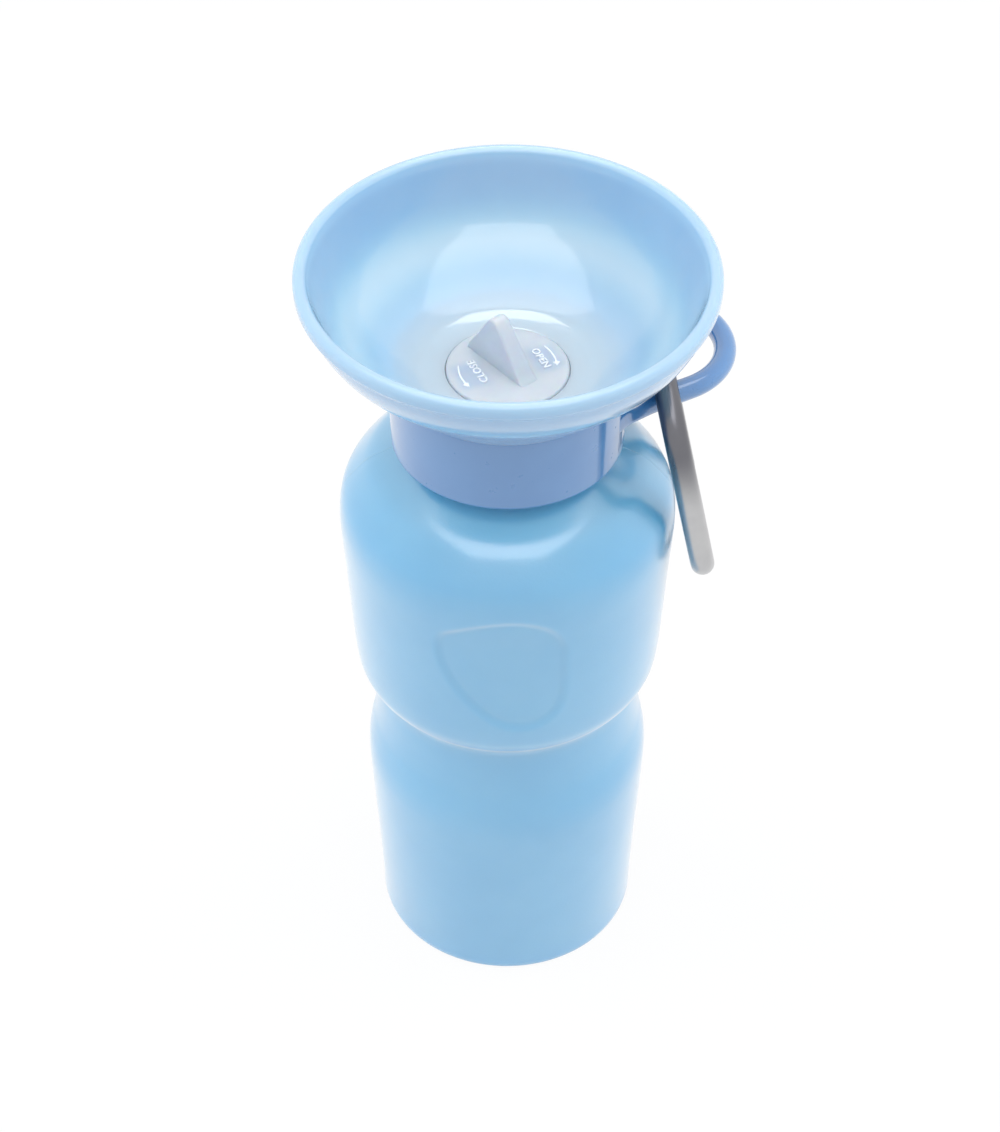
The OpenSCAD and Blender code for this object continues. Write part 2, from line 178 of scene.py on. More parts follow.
world = bpy.data.worlds.new("studio")
world.use_nodes = True
bpy.context.scene.world = world
sky = world.node_tree
sky_light = sky.nodes["Background"]
seen = sky.nodes.new("ShaderNodeLightPath")
white = sky.nodes.new("ShaderNodeBackground")
white.inputs["Color"].default_value = (1, 1, 1, 1)
white.inputs["Strength"].default_value = 1.0
sky_light.inputs["Color"].default_value = (0.97, 0.985, 1.0, 1)
sky_light.inputs["Strength"].default_value = 0.58
blend_sky = sky.nodes.new("ShaderNodeMixShader")
share = seen.outputs["Is Camera Ray"]
for kind in ("Is Glossy Ray", "Is Transmission Ray"):
    larger = sky.nodes.new("ShaderNodeMath")
    larger.operation = "MAXIMUM"
    sky.links.new(share, larger.inputs[0])
    sky.links.new(seen.outputs[kind], larger.inputs[1])
    share = larger.outputs[0]
sky.links.new(share, blend_sky.inputs[0])
sky.links.new(sky_light.outputs[0], blend_sky.inputs[1])
sky.links.new(white.outputs[0], blend_sky.inputs[2])
sky.links.new(blend_sky.outputs[0], sky.nodes["World Output"].inputs[0])


def lamp(name, size, place, aim, watts, tint=(1, 1, 1)):
    """A soft box: a rectangular lamp at one point that looks at another."""
    light = bpy.data.lights.new(name, "AREA")
    light.shape = "RECTANGLE"
    light.size, light.size_y = size
    light.energy = watts
    light.color = tint
    box = bpy.data.objects.new(name, light)
    box.location = place
    box.rotation_euler = (Vector(aim) - Vector(place)).to_track_quat("-Z", "Y").to_euler()
    bpy.context.scene.collection.objects.link(box)
    return box


lamp("key_box", (1.32, 1.62), (0.0, -0.425, 1.2), (0, -0.4249, 0.2), 9.6)
lamp("back_box", (0.34, 0.22), (0.0, 0.60, 1.15), (0, 0, 0.2), 0.9)
for side in (-1, 1):
    panel = lamp("side_panel", (0.9, 1.0), (side * 0.9, 0.15, 0.55), (0, 0, 0.16), 5.0)
    panel.visible_glossy = False

floor_mesh = bpy.data.meshes.new("floor")
floor_mesh.from_pydata([(-6, -6, 0), (6, -6, 0), (6, 6, 0), (-6, 6, 0)], [], [(0, 1, 2, 3)])
floor = bpy.data.objects.new("floor", floor_mesh)
bpy.context.scene.collection.objects.link(floor)
paper = Finish("studio_paper", {"Base Color": (0.86, 0.87, 0.88, 1), "Roughness": 0.9})
ray = paper.add("LightPath")
glow = paper.add("Emission", None, Color=(1, 1, 1, 1), Strength=1.0)
rays = [Wire(paper, ray.socket.node.outputs["Is %s Ray" % kind])
        for kind in ("Camera", "Glossy", "Transmission")]
direct = rays[0].step("MAXIMUM", rays[0], rays[1]).step("MAXIMUM", rays[0] + rays[1], rays[2])
seen_floor = paper.add("MixShader", None, direct * 0.93)
paper.tree.links.new(paper.shader.outputs[0], seen_floor.socket.node.inputs[1])
paper.tree.links.new(glow.socket, seen_floor.socket.node.inputs[2])
paper.tree.links.new(seen_floor.socket, paper.output.inputs[0])
floor_mesh.materials.append(paper.material)


# ---- Bottle ---------------------------------------------------------------------------
# Extrusion-blown low-density polyethylene, 1.6 mm thick, satin and slightly milky. A punt
# and standing ring below, a waist crease, a shallow thumb recess in front, a round shoulder.
MM = 0.001


def through(points, count):
    """A centripetal Catmull-Rom curve through the points, sampled at even arc steps."""
    p = np.asarray(points, float)
    p = np.vstack([2 * p[0] - p[1], p, 2 * p[-1] - p[-2]])
    gaps = np.maximum(np.linalg.norm(np.diff(p, axis=0), axis=1), 1e-9)
    knot = np.concatenate([[0], np.cumsum(gaps ** 0.5)])
    spans = [np.linspace(knot[i], knot[i + 1], 24, endpoint=False) for i in range(1, len(p) - 2)]
    t = np.concatenate(spans + [[knot[-2]]])
    i = np.clip(np.searchsorted(knot, t, side="right") - 1, 1, len(p) - 3)
    k = [knot[i + j][:, None] for j in (-1, 0, 1, 2)]
    q = [p[i + j] for j in (-1, 0, 1, 2)]
    s = t[:, None]

    def lerp(a, b, ta, tb):
        return a + (b - a) * (s - ta) / (tb - ta)

    a1, a2, a3 = (lerp(q[j], q[j + 1], k[j], k[j + 1]) for j in range(3))
    b1 = a1 + (a2 - a1) * (s - k[0]) / (k[2] - k[0])
    b2 = a2 + (a3 - a2) * (s - k[1]) / (k[3] - k[1])
    c = b1 + (b2 - b1) * (s - k[1]) / (k[2] - k[1])
    arc = np.concatenate([[0], np.cumsum(np.linalg.norm(np.diff(c, axis=0), axis=1))])
    even = np.linspace(0, arc[-1], count)
    return np.stack([np.interp(even, arc, c[:, d]) for d in range(c.shape[1])], 1)


def corner(at, before, after, radius, count=6):
    """A round of this radius where two straight lines meet at a point."""
    at, before, after = (np.asarray(v, float) for v in (at, before, after))
    a = (before - at) / np.linalg.norm(before - at)
    b = (after - at) / np.linalg.norm(after - at)
    half = math.acos(np.clip(a @ b, -1, 1)) / 2
    reach = radius / math.tan(half)
    t = np.linspace(0, 1, count)[:, None]
    p, q = at + a * reach, at + b * reach
    return (1 - t) ** 2 * p + 2 * t * (1 - t) * at + t ** 2 * q


def turned(profile, angles):
    """Points of a profile of (radius, height) carried round Z: rows along it, columns round."""
    r, z = np.asarray(profile, float).T
    return np.stack([r[:, None] * np.cos(angles), r[:, None] * np.sin(angles),
                     np.repeat(z[:, None], len(angles), 1)], -1)


def skin(name, grid, round_rows=False):
    """A smooth closed mesh of a grid of points in millimetres, its doubles merged."""
    rows, columns = grid.shape[:2]
    i = np.arange(rows if round_rows else rows - 1)[:, None]
    j = np.arange(columns)[None, :]
    i2, j2 = (i + 1) % rows, (j + 1) % columns
    quads = np.stack([i * columns + j, i * columns + j2, i2 * columns + j2, i2 * columns + j], -1)
    quads = quads.reshape(-1, 4)
    mesh = bpy.data.meshes.new(name)
    mesh.vertices.add(rows * columns)
    mesh.vertices.foreach_set("co", (grid.reshape(-1, 3) * MM).ravel())
    mesh.loops.add(quads.size)
    mesh.loops.foreach_set("vertex_index", quads.ravel())
    mesh.polygons.add(len(quads))
    mesh.polygons.foreach_set("loop_start", np.arange(0, quads.size, 4))
    mesh.update(calc_edges=True)
    return tidy(name, mesh)


def tidy(name, mesh):
    """Merges doubled points, points the faces outwards and shades them smooth."""
    work = bmesh.new()
    work.from_mesh(mesh)
    bmesh.ops.remove_doubles(work, verts=work.verts, dist=1e-6)
    bmesh.ops.dissolve_degenerate(work, edges=work.edges, dist=1e-7)
    bmesh.ops.recalc_face_normals(work, faces=work.faces)
    work.to_mesh(mesh)
    work.free()
    mesh.polygons.foreach_set("use_smooth", np.ones(len(mesh.polygons), bool))
    mesh.update()
    piece = bpy.data.objects.new(name, mesh)
    bpy.context.scene.collection.objects.link(piece)
    return piece


def smooth(low, high, value):
    """0 below low, 1 above high, with level ends."""
    t = np.clip((value - low) / (high - low), 0, 1)
    return t * t * (3 - 2 * t)


wall, neck_r, bore_r, bead_r, mouth_z = 1.6, 25.5, 23.7, 26.5, 192
body_side = [(36.6, 1.5), (36.75, 8), (37, 14), (37.7, 28), (38.5, 42), (39.05, 52), (39.35, 58),
             (39.4, 62), (39.05, 66.5), (38.2, 71), (37.35, 75), (36.7, 80), (36.3, 85),
             (36.1, 88.6), (36.25, 90.9), (36.95, 92.7), (38.2, 94.4), (39.7, 96.1), (40.8, 98),
             (41.5, 100), (42.05, 104), (42.5, 110), (43.1, 120), (43.8, 132), (44.35, 140),
             (44.75, 146), (44.85, 150), (44.7, 153), (44.15, 156), (43.3, 158.2), (42.1, 160.2),
             (40.5, 162.4), (38.95, 164.35), (37.6, 165.9), (36.6, 166.85), (35.4, 167.75), (34, 168.6),
             (31, 170.2), (28.4, 171.55)]
foot = np.vstack([[(0, 2.2), (14, 2.2)], corner((28.4, 2.2), (14, 2.2), (32, 0.1), 2.5),
                  corner((32.2, 0), (28.6, 2.2), (34, 0), 0.9),
                  corner((36.5, 0), (34, 0), (36.7, 6), 1.7, 9)])
outside = through(np.vstack([[(36.62, 1.9)], body_side[1:]]), 268)
neck_out = np.vstack([corner((neck_r, 173.1), (28.0, 171.75), (neck_r, 180), 0.6),
                      corner((neck_r, 174.4), (neck_r, 173), (bead_r, 174.4), 0.2),
                      corner((bead_r, 174.4), (neck_r, 174.4), (bead_r, 175.8), 0.3),
                      corner((bead_r, 175.8), (bead_r, 174.4), (neck_r, 175.8), 0.3),
                      corner((neck_r, 175.8), (bead_r, 175.8), (neck_r, 180), 0.2),
                      corner((neck_r, mouth_z), (neck_r, 180), (bore_r, mouth_z), 0.4),
                      corner((bore_r, mouth_z), (neck_r, mouth_z), (bore_r, 180), 0.4)])
inner_side = [(r - wall, z - 0.2) for r, z in body_side[2:-1]]
inside = np.vstack([corner((bore_r, 172), (bore_r, 180), (27, 170.6), 1.2),
                    through(inner_side[::-1], 84),
                    corner((35.0, 3.8), (35.2, 12), (20, 3.8), 2.2), [(14, 3.8), (0, 3.8)]])
turn = np.linspace(0, 1, 256, endpoint=False)
around = -math.pi / 2 + 2 * math.pi * turn - 0.5 * np.sin(2 * math.pi * turn)
profile = np.vstack([foot, outside, neck_out, inside])
grid = turned(profile, around)

# The thumb recess: inside an outline of (arc along the front, height), found by its distance
# from a centre against the outline's in the same direction, the wall is let in by 0.9 mm, and
# by 0.25 mm more towards its middle.
recess_edge = np.array([(16.4, 132), (15.9, 138.5), (13.0, 144.4), (8.7, 147.7), (3.1, 149.5), (-2, 149.4),
                        (-7.1, 148.2), (-14.4, 144.9), (-18.2, 142.3), (-19.8, 138.6), (-19.4, 132.2),
                        (-17.4, 126.4), (-14.1, 120.4), (-10.2, 115.4), (-5.6, 110.7), (-1.2, 107.9),
                        (3.2, 106.8), (8, 107.5), (12.9, 110.9), (15.5, 116.0), (16.4, 123.5)])
centre = np.array([-0.8, 129.0])
spokes = recess_edge - centre
shore = through(np.vstack([spokes, spokes[:1]]), 160)
shore_at = np.unwrap(np.arctan2(shore[:, 1], shore[:, 0]))
front = np.arctan2(grid[..., 0], -grid[..., 1])
radius = np.hypot(grid[..., 0], grid[..., 1])
across = radius * front - centre[0]
up = grid[..., 2] - centre[1]
edge = np.interp(np.arctan2(up, across), shore_at, np.hypot(shore[:, 0], shore[:, 1]),
                 period=2 * math.pi)
inset = edge - np.hypot(across, up)
let_in = 0.9 * smooth(-0.6, 2.4, inset) + 0.25 * smooth(2, 12, inset)
let_in *= (radius > 40) & (np.abs(front) < 1) & (grid[..., 2] > 100) & (grid[..., 2] < 156)
outer = np.arange(len(profile)) < len(foot) + len(outside)
let_in[~outer] *= 0.9
grid[..., :2] *= (1 - let_in / np.maximum(radius, 1e-6))[..., None]
bottle = skin("bottle_shell", grid)


def milky_blue():
    """Satin squeeze plastic: faint cloudiness, a mould parting line at the sides, fine scuffs."""
    f = Finish("squeeze_plastic", {"Specular IOR Level": 1.0, "Coat Weight": 1.0, "Coat IOR": 1.9,
                                   "Coat Roughness": 0.32, "Sheen Weight": 0.45, "Sheen Roughness": 0.3,
                                   "Subsurface Weight": 0.35, "Subsurface Scale": 0.006,
                                   "Subsurface Radius": (0.5, 0.8, 1.0)})
    y, z = f.axes()[1:3]
    cloud = f.noise(0.035, 3, 0.55)
    colour = f.mix(f.band(cloud, 0.3, 0.7), (0.085, 0.390, 0.690, 1), (0.110, 0.420, 0.715, 1))
    # Painted light: paler over the upper shoulder, lit by the soft box above, and over the foot, lit by the
    # white floor.
    pale = f.band(z, 0.155, 0.175) * 0.25 + 0.10 * f.band(0.02 - z, 0.0, 0.02)
    colour = f.mix(pale, colour, (0.20, 0.54, 0.80, 1))
    seam = 1 - f.band(abs(y), 0.00008, 0.00035)
    scuff = f.band(f.noise(0.006, 6, 0.7), 0.58, 0.72)
    rough = 0.08 + 0.04 * cloud + 0.03 * scuff
    peel = f.bump(f.noise(0.0016, 2, 0.5), 0.00005, 0.6)
    grain = f.bump(f.noise(0.0006, 3, 0.6), 0.00004, 0.8, peel)
    ridge = f.bump(seam, 0.00012, 0.8, grain)
    return f.wear(Base_Color=colour, Roughness=rough, Normal=ridge)


bottle.data.materials.append(milky_blue())
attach(bottle, "bottle")
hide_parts("bottle")


# ---- Neck thread ----------------------------------------------------------------------
# The bottle's neck carries a right-hand thread of 5 mm pitch, blown with it, whose ridge
# runs out to nothing at both ends.
def helix(name, r_root, r_crest, low, pitch, sweep, base, crest):
    """A thread ridge: at angle a its foot is r_root, its height rises pitch * a / 360, and its
    crest fades to the root over the first and last 30 degrees."""
    a = np.linspace(0, sweep, int(sweep / 3))[:, None]
    fade = smooth(0, 30, a) * smooth(0, 30, sweep - a)
    section = np.array([(0, -base), (0.72, -crest - 0.12), (1, -crest), (1, crest),
                        (0.72, crest + 0.12), (0, base), (-0.25, 0)])
    out = section[:, 0] * np.where(section[:, 0] > 0, fade, 1.0)
    r = r_root + out * (r_crest - r_root)
    z = low + pitch * a / 360 + section[:, 1] * (0.3 + 0.7 * fade)
    angle = np.radians(a)
    ridge = np.stack([r * np.cos(angle), r * np.sin(angle), z], -1)
    middle = ridge.mean(1, keepdims=True)
    ends = np.repeat(middle[[0, -1]], ridge.shape[1], 1)
    return skin(name, np.concatenate([ends[:1], ridge, ends[1:]]))


neck_thread = helix("neck_thread", neck_r, 27.0, 179.2, 5.0, 620, 1.1, 0.5)
neck_thread.data.materials.append(bottle.data.materials[0])
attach(neck_thread, "bottle")


# ---- Bowl -----------------------------------------------------------------------------
# Injection-moulded polypropylene, glossy pale blue. A funnel with a rolled lip, whose foot
# has a groove for the tongue on the screw cap's floor plate.
lip, pocket_r, foot_r, foot_z, groove_z = 1.75, 16.1, 29.2, 195.65, 196.45
funnel_in = through([(17.2, 197.6), (20.6, 197.98), (24, 198.65), (30, 201.3), (36, 205.1),
                     (40, 208.4), (42, 210.6), (44, 213.3), (45.8, 216.6), (47.3, 220),
                     (48.8, 223.8), (50.1, 227.4)], 92)
funnel_out = through([(52.72, 225.1), (51.7, 222), (50.3, 219), (48.7, 216.3), (46.8, 214), (43.5, 210.7),
                      (38, 205.2), (31.2, 198.4)], 56)


def arc(cx, cz, radius, first, last, count):
    """Points of a round in the profile's plane, from one angle to another in degrees."""
    a = np.radians(np.linspace(first, last, count))
    return np.stack([cx + radius * np.cos(a), cz + radius * np.sin(a)], 1)


bowl_profile = np.vstack([corner((pocket_r, 197.5), (pocket_r, foot_z), (20, 197.9), 0.3),
                          funnel_in,
                          arc(52.25, 228.15, lip, 172, 0, 18), arc(52.25, 226.9, lip, 0, -60, 8), funnel_out,
                          corner((30.8, 198), (34, 201.2), (foot_r, 198), 0.3, 4),
                          [(foot_r, 198), (foot_r, foot_z), (25.85, foot_z), (25.85, groove_z),
                           (24.15, groove_z), (24.15, foot_z), (pocket_r, foot_z)]])
full_turn = np.linspace(0, 2 * math.pi, 240, endpoint=False)
bowl = skin("bowl_shell", turned(bowl_profile, full_turn), round_rows=True)


def glossy_blue():
    """Glossy moulded plastic: clear coat, faint flow marks round the gate, hairline scratches."""
    f = Finish("bowl_plastic", {"Coat Weight": 1.0, "Coat IOR": 1.5, "Coat Roughness": 0.05,
                                "Specular IOR Level": 0.6,
                                "Subsurface Weight": 0.6, "Subsurface Radius": (0.6, 0.9, 1.0),
                                "Subsurface Scale": 0.012})
    flow = f.noise(0.045, 3, 0.55)
    colour = f.mix(f.band(flow, 0.3, 0.7), (0.275, 0.415, 0.590, 1), (0.300, 0.440, 0.610, 1))
    z = f.axes()[2]
    # Painted light: a painted highlight round the top of the lip, and the lower bowl painted paler, as if
    # lit from above and glowing through.
    pale = 0.14 * f.band(z, 0.2255, 0.2290) + 0.55 * f.band(0.205 - z, 0.0, 0.008)
    colour = f.mix(pale, colour, (0.62, 0.80, 0.93, 1))
    scratch = f.band(f.noise(0.010, 8, 0.75), 0.60, 0.66)
    rough = 0.18 + 0.05 * flow + 0.06 * scratch
    grain = f.bump(f.noise(0.004, 2, 0.5), 0.00001, 0.1)
    return f.wear(Base_Color=colour, Roughness=rough, Normal=grain)


bowl_plastic = glossy_blue()
bowl.data.materials.append(bowl_plastic)
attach(bowl, "cap")
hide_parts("bowl")


def dress(node, finish):
    """Gives a CAD node's object this material."""
    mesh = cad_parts[node]
    while len(mesh.material_slots) > 1:
        mesh.data.materials.pop()
    if mesh.material_slots:
        mesh.material_slots[0].material = finish
    else:
        mesh.data.materials.append(finish)


dress("screw_cap", bowl_plastic)


# ---- Collar ---------------------------------------------------------------------------
# A periwinkle thermoplastic elastomer ring shrunk over the screw cap's skirt, glossy, with
# a rolled lower edge. Its tabs and the cord are moulded in one with it.
collar_r, sleeve_r, collar_top, collar_low = 30.7, 29.25, 197.93, 176
collar_profile = np.vstack([
    corner((collar_r, collar_top), (collar_r, 190), (29.2, collar_top), 0.25, 5),
    corner((sleeve_r, collar_top), (30, collar_top), (sleeve_r, 190), 0.15, 4),
    corner((sleeve_r, collar_low), (sleeve_r, 190), (30, collar_low), 0.3, 5),
    corner((collar_r, collar_low), (sleeve_r, collar_low), (collar_r, 190), 0.95, 12),
    np.stack([np.full(8, collar_r), np.linspace(178, 196, 8)], 1)])
collar = skin("collar_band", turned(collar_profile, full_turn), round_rows=True)


def soft_rubber():
    """Elastomer: a soft gloss, a faint moulding ripple, slight clouding."""
    f = Finish("strap_rubber", {"Coat Weight": 1.0, "Coat IOR": 1.9, "Coat Roughness": 0.07,
                                "Specular IOR Level": 0.6})
    cloud = f.noise(0.02, 3, 0.55)
    colour = f.mix(f.band(cloud, 0.3, 0.7), (0.040, 0.195, 0.475, 1), (0.050, 0.215, 0.500, 1))
    rough = 0.24 + 0.10 * f.noise(0.004, 5, 0.65)
    ripple = f.bump(f.noise(0.009, 2, 0.5), 0.0003, 0.10)
    return f.wear(Base_Color=colour, Roughness=rough, Normal=ripple)


rubber = soft_rubber()
collar.data.materials.append(rubber)
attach(collar, "cap")
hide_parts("collar")


# ---- Strap loop -----------------------------------------------------------------------
# The same elastomer: two flat tabs grow out of the collar and turn into one round cord of
# 6 mm that bends round in a D. The carabiner hangs on its front leg.
strap_az = math.radians(29)
legs, cord_z, straight_u, loop_u, cord_r, sides = 18.8, 187.0, 33.2, 44.2, 3.0, 36


def strap_grid():
    """Sections along the D: position and lateral direction follow two straight legs joined by
    a half circle. From collar to tab end each section is blended from a wide foot that lies
    on the collar's own cylinder to a round of the cord's radius."""
    s_root = np.linspace(0, 1, 22)
    leg = np.linspace(straight_u, loop_u, 9)[1:]
    bend = np.linspace(-90, 90, 64)
    phi = np.linspace(0, 2 * math.pi, sides, endpoint=False)
    rows = []
    for side in (-1, 1):
        part = []
        for s in s_root:
            power = 2.0 + 2.0 * (1 - smooth(0.3, 1, s))
            c, d = np.cos(phi), np.sin(phi)
            c = np.sign(c) * np.abs(c) ** (2 / power)
            d = np.sign(d) * np.abs(d) ** (2 / power)
            half = 5.2 - 2.2 * smooth(0, 0.5, s)
            tall = 3.4 - 0.4 * smooth(0, 0.5, s)
            v = side * legs + c * half
            on_collar = np.sqrt(np.maximum(30.1 ** 2 - v ** 2, 1))
            u = on_collar + (straight_u - on_collar) * (0.35 * s + 0.65 * s ** 2)
            part.append(np.stack([u, v, cord_z + d * tall], 1))
        for u in leg:
            part.append(np.stack([np.full(sides, u), side * legs + np.cos(phi) * cord_r,
                                  cord_z + np.sin(phi) * cord_r], 1))
        rows.append(part)
    round_part = []
    for b in np.radians(bend[1:-1]):
        r = legs - np.cos(phi) * cord_r
        round_part.append(np.stack([loop_u + r * math.cos(b), r * math.sin(b),
                                    cord_z + np.sin(phi) * cord_r], 1))
    right = rows[0]
    left = [np.roll(p[::-1], sides // 2 + 1, 0) for p in rows[1]]
    grid = np.array(right + round_part + left[::-1])
    middle = grid[[0, -1]].mean(1, keepdims=True)
    ends = np.repeat(middle, grid.shape[1], 1)
    grid = np.concatenate([ends[:1], grid, ends[1:]])
    u, v, z = grid[..., 0], grid[..., 1], grid[..., 2]
    return np.stack([u * math.cos(strap_az) - v * math.sin(strap_az),
                     u * math.sin(strap_az) + v * math.cos(strap_az), z], -1)


strap = skin("strap_cord", strap_grid())
strap.data.materials.append(rubber)
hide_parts("strap_loop")
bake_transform(strap)


# ---- Valve ----------------------------------------------------------------------------
# Milky translucent polypropylene: a disc with a finger fin and raised words. A quarter turn
# lifts it by its cross pin in the hub's slots and opens the two ports under it.
disc_r, disc_low, disc_top, arrow_r = 16, 196.1, 198.0, 12.7
disc_profile = np.vstack([[(0, disc_low)],
                          corner((disc_r, disc_low), (0, disc_low), (disc_r, disc_top), 0.4),
                          corner((disc_r, disc_top), (disc_r, 196), (0, disc_top), 0.7, 8),
                          np.stack([np.linspace(14.6, 0, 12), np.full(12, disc_top)], 1)])
disc = skin("valve_disc", turned(disc_profile, full_turn))
fin_az = math.radians(-50)
fin_outline = np.vstack([through([(-13.5, -0.1), (-13.1, 0.9), (-9.4, 6.9), (-5.9, 12.4),
                                  (-4.9, 13.55), (-3.6, 13.9), (-2.4, 13.5), (-1.4, 12.5),
                                  (2.5, 7.6), (5.6, 3.6), (6.9, 1.8), (8.0, 0.6), (8.9, -0.1)], 90),
                         [(8.9, -0.6), (0, -0.6), (-13.5, -0.6)]])


def fin_grid():
    """The fin's outline shrunk towards its middle and set across its thickness: at angle k of
    the rounded edge a point lies edge * (1 - sin k) inside and edge * (1 - cos k) down."""
    hub = np.array([-2.0, 4.2])
    span = fin_outline - hub
    away = np.linalg.norm(span, axis=1, keepdims=True)
    half, edge, unit = 1.8, 0.75, 6.0
    turnings = np.radians(np.linspace(0, 90, 7))
    rows = [(0.0, half), (0.5, half)]
    rows += [(1 - edge * (1 - math.sin(k)) / unit, half - edge * (1 - math.cos(k)))
             for k in turnings]
    rows += [(q, -w) for q, w in rows[::-1]]
    out = []
    for q, w in rows:
        on_edge = q >= 0.9
        p = hub + span * (1 if on_edge else q) - on_edge * span / away * (1 - q) * unit
        draft = 1.45 - 0.20 * np.clip(p[:, 1], 0, 14) / 14
        out.append(np.stack([p[:, 0], w * draft, disc_top + p[:, 1]], 1))
    g = np.array(out)
    s, w = g[..., 0], g[..., 1]
    return np.stack([s * math.cos(fin_az) - w * math.sin(fin_az),
                     s * math.sin(fin_az) + w * math.cos(fin_az), g[..., 2]], -1)


fin = skin("valve_fin", fin_grid())


def raised(name, word, height, along, off, turn_deg):
    """Raised lettering on the disc: the word's mesh, turned and set down at (along, off) in the
    fin's frame, with its top 0.4 mm above the disc."""
    curve = bpy.data.curves.new(name, "FONT")
    curve.body = word
    curve.align_x, curve.align_y = "CENTER", "CENTER"
    curve.size = height * 1.42 * MM
    curve.extrude = 0.00025
    curve.bevel_depth = 0.00005
    curve.bevel_resolution = 1
    curve.resolution_u = 6
    curve.space_character = 1.08
    text = bpy.data.objects.new(name, curve)
    bpy.context.scene.collection.objects.link(text)
    bpy.context.view_layer.update()
    mesh = bpy.data.meshes.new_from_object(text.evaluated_get(bpy.context.evaluated_depsgraph_get()))
    bpy.data.objects.remove(text)
    co = np.empty(len(mesh.vertices) * 3)
    mesh.vertices.foreach_get("co", co)
    co = co.reshape(-1, 3)
    t = fin_az + math.radians(turn_deg)
    x = along * math.cos(fin_az) - off * math.sin(fin_az)
    y = along * math.sin(fin_az) + off * math.cos(fin_az)
    put = np.stack([co[:, 0] * math.cos(t) - co[:, 1] * math.sin(t) + x * MM,
                    co[:, 0] * math.sin(t) + co[:, 1] * math.cos(t) + y * MM, co[:, 2] + 0.1981], 1)
    mesh.vertices.foreach_set("co", put.ravel())
    mesh.update()
    piece = bpy.data.objects.new(name, mesh)
    bpy.context.scene.collection.objects.link(piece)
    return piece


def arrow(name, first, last):
    """A raised bent arrow at arrow_r: a half-round rib that swells and ends in a point."""
    a = np.radians(np.linspace(first, last, 40))
    share = np.linspace(0, 1, 40)
    wide = np.where(share < 0.82, 0.28 * smooth(0, 0.05, share) + 0.02,
                    0.95 * (1 - share) / 0.18 + 0.02)
    across = np.linspace(-1, 1, 9)
    r = arrow_r + wide[:, None] * across
    z = disc_top + 0.26 * np.sqrt(np.maximum(1 - across ** 2, 0))[None, :] * np.ones_like(r) - 0.02
    top = np.stack([r * np.cos(a)[:, None], r * np.sin(a)[:, None], z], -1)
    low = top.copy()
    low[..., 2] = 197.9
    ring = np.concatenate([top, low[:, ::-1]], 1)
    middle = np.repeat(ring[[0, -1]].mean(1, keepdims=True), ring.shape[1], 1)
    return skin(name, np.concatenate([middle[:1], ring, middle[1:]]))


word_open = raised("word_open", "OPEN", 2.1, 3.0, 8.6, -14)
word_close = raised("word_close", "CLOSE", 2.1, -3.3, -7.2, 166)
arrow_open = arrow("arrow_open", 42, 2)
arrow_close = arrow("arrow_close", 178, 220)


def milky():
    """Translucent plastic: pale and cloudy, bluer over the ports where their shade under the disc is painted
    in, fine brushed grain.
    """
    f = Finish("valve_plastic", {"Transmission Weight": 0.35, "IOR": 1.45,
                                 "Coat Weight": 0.3, "Coat Roughness": 0.12,
                                 "Subsurface Weight": 0.3, "Subsurface Scale": 0.004})
    x, y, z = f.axes()
    cloud = f.noise(0.008, 3, 0.55)
    colour = f.mix(f.band(cloud, 0.3, 0.7), (0.76, 0.81, 0.87, 1), (0.80, 0.85, 0.90, 1))
    # Painted shade: the two ports under the disc are painted as bluer patches, as if their shade showed
    # through it.
    port_az = math.radians(20)
    along = x * math.cos(port_az) + y * math.sin(port_az)
    aside = y * math.cos(port_az) - x * math.sin(port_az)
    painted_port_shade = f.band(abs(along), 0.0045, 0.0085) * (1 - f.band(abs(along), 0.0120, 0.0160))
    painted_port_shade = painted_port_shade * (1 - f.band(abs(aside), 0.0030, 0.0066))
    painted_port_shade = painted_port_shade * (1 - f.band(z, 0.1981, 0.1986))
    colour = f.mix(0.55 * painted_port_shade, colour, (0.48, 0.62, 0.84, 1))
    rough = 0.30 + 0.12 * cloud
    grain = f.bump(f.noise(0.0008, 3, 0.6), 0.00003, 0.3)
    return f.wear(Base_Color=colour, Roughness=rough, Normal=grain)


def rubbed():
    """The raised words and arrows: the same plastic, rubbed pale and no longer see-through."""
    f = Finish("valve_ribs", {"Coat Weight": 0.2, "Coat Roughness": 0.2})
    worn = f.noise(0.002, 3, 0.6)
    colour = f.mix(worn, (0.84, 0.88, 0.92, 1), (0.88, 0.92, 0.95, 1))
    return f.wear(Base_Color=colour, Roughness=0.35 + 0.1 * worn, Normal=f.bump(worn, 0.00002, 0.3))


valve_plastic = milky()
ribs = rubbed()
for piece in (disc, fin, word_open, word_close, arrow_open, arrow_close):
    piece.data.materials.clear()
    piece.data.materials.append(valve_plastic if piece in (disc, fin) else ribs)
    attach(piece, "valve")
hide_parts("valve_knob")
dress("valve_stem", valve_plastic)


# ---- Dip tube and seals ---------------------------------------------------------------
# A clear polyethylene tube pushed into an adapter under the cap, a silicone washer on the
# neck's land, a silicone ring under the disc and a black nitrile ring round the stem.
def clear_tube():
    """Clear tubing: faint draw lines along it and a slight blue cast."""
    f = Finish("clear_tube", {"Transmission Weight": 0.6, "IOR": 1.5})
    x, y, z = f.axes()
    line = f.noise(0.0012, 2, 0.5, f.add("CombineXYZ", None, x, y, 0.02 * z))
    colour = f.mix(line, (0.82, 0.88, 0.92, 1), (0.90, 0.94, 0.96, 1))
    return f.wear(Base_Color=colour, Roughness=0.18 + 0.10 * line, Normal=f.bump(line, 0.00005, 0.3))


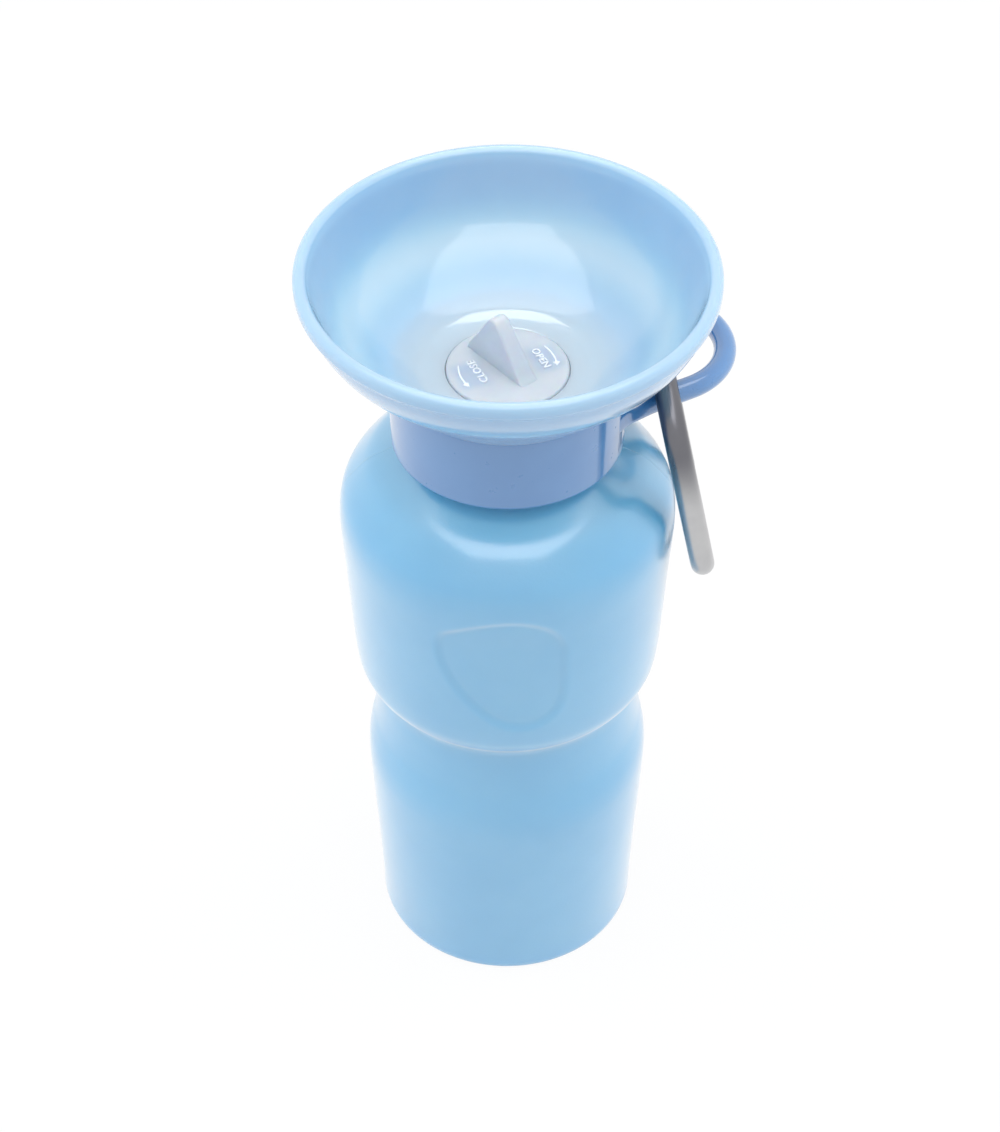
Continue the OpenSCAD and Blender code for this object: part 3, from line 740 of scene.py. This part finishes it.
def silicone(name, low, high):
    """Matt elastomer with a dusty bloom."""
    f = Finish(name, {"Specular IOR Level": 0.4, "Sheen Weight": 0.2})
    dust = f.noise(0.003, 4, 0.6)
    return f.wear(Base_Color=f.mix(dust, low, high), Roughness=0.45 + 0.2 * dust,
                  Normal=f.bump(f.noise(0.0005, 2, 0.5), 0.00003, 0.4))


tube_plastic = clear_tube()
dress("tube_adapter", tube_plastic)
dress("dip_tube", tube_plastic)
white_silicone = silicone("white_silicone", (0.72, 0.74, 0.76, 1), (0.82, 0.84, 0.86, 1))
dress("neck_gasket", white_silicone)
dress("valve_seal", white_silicone)
dress("stem_o_ring", silicone("black_nitrile", (0.012, 0.012, 0.013, 1), (0.03, 0.03, 0.032, 1)))


# ---- Carabiner ------------------------------------------------------------------------
# A bent aluminium rod of 6.4 mm, tumbled and anodised satin grey, with a sprung gate on a
# pivot pin. Pins, spring and plunger are plain stainless steel.
def satin_metal(name, low, high, painted_shade, rough, along):
    """Anodised or drawn metal: fine lines along one direction, soft blotches, and a painted shade that
    darkens it upwards, under the bowl.
    """
    f = Finish(name, {"Metallic": 1.0})
    x, y, z = f.axes()
    brushed = f.noise(0.0007, 3, 0.6, f.add("CombineXYZ", None, x, y, along * z))
    blotch = f.noise(0.012, 3, 0.5)
    colour = f.mix(f.band(blotch, 0.25, 0.75), low, high)
    # Painted shade: above 160 mm the colour darkens towards the shade colour, standing in for the bowl's
    # shadow on the hook and pins.
    colour = f.mix(0.85 * f.band(z, 0.160, 0.182), colour, painted_shade)
    return f.wear(Base_Color=colour, Roughness=rough + 0.05 * brushed + 0.06 * blotch,
                  Normal=f.bump(brushed, 0.00002, 0.12))


anodised = satin_metal("anodised_grey", (0.50, 0.50, 0.51, 1), (0.58, 0.58, 0.58, 1),
                       (0.12, 0.12, 0.14, 1), 0.24, 0.12)
steel = satin_metal("plain_steel", (0.50, 0.50, 0.51, 1), (0.60, 0.60, 0.60, 1),
                    (0.42, 0.42, 0.43, 1), 0.20, 1.0)
for node in ("carabiner_frame", "carabiner_gate"):
    dress(node, anodised)
for node in ("cam_pin", "gate_pivot_pin", "gate_latch_pin", "gate_spring", "gate_plunger"):
    dress(node, steel)
